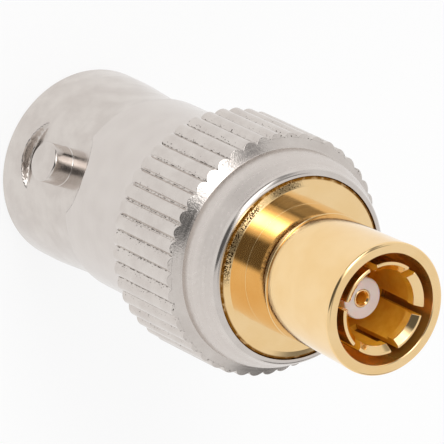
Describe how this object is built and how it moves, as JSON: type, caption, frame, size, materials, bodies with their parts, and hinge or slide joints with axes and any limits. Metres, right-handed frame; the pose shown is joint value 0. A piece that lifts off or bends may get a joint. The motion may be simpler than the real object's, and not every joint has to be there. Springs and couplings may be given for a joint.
{
  "type": "coaxial adapter",
  "caption": "Straight coaxial adapter: nickel-plated bayonet jack with a knurled grip at one end, gold-plated push-on plug with a slotted collet at the other.",
  "frame": {"origin": "centre of the jack's mouth ring, on which the adapter stands", "axes": "+Z along the axis from the jack's mouth to the plug's rim, +X through one bayonet lug"},
  "size_m": [0.012, 0.012, 0.026],
  "materials": {
    "nickel_plating": "bright nickel plate over brass",
    "gold_plating": "bright gold plate over brass",
    "white_insulator": "machined fluoropolymer"
  },
  "bodies": {
    "root": {"jack_body": "nickel_plating", "jack_insulator": "white_insulator", "jack_contact": "gold_plating", "plug_body": "gold_plating", "plug_shroud": "gold_plating", "plug_collet": "gold_plating", "plug_insulator": "white_insulator", "plug_contact": "gold_plating"}
  },
  "joints": []
}
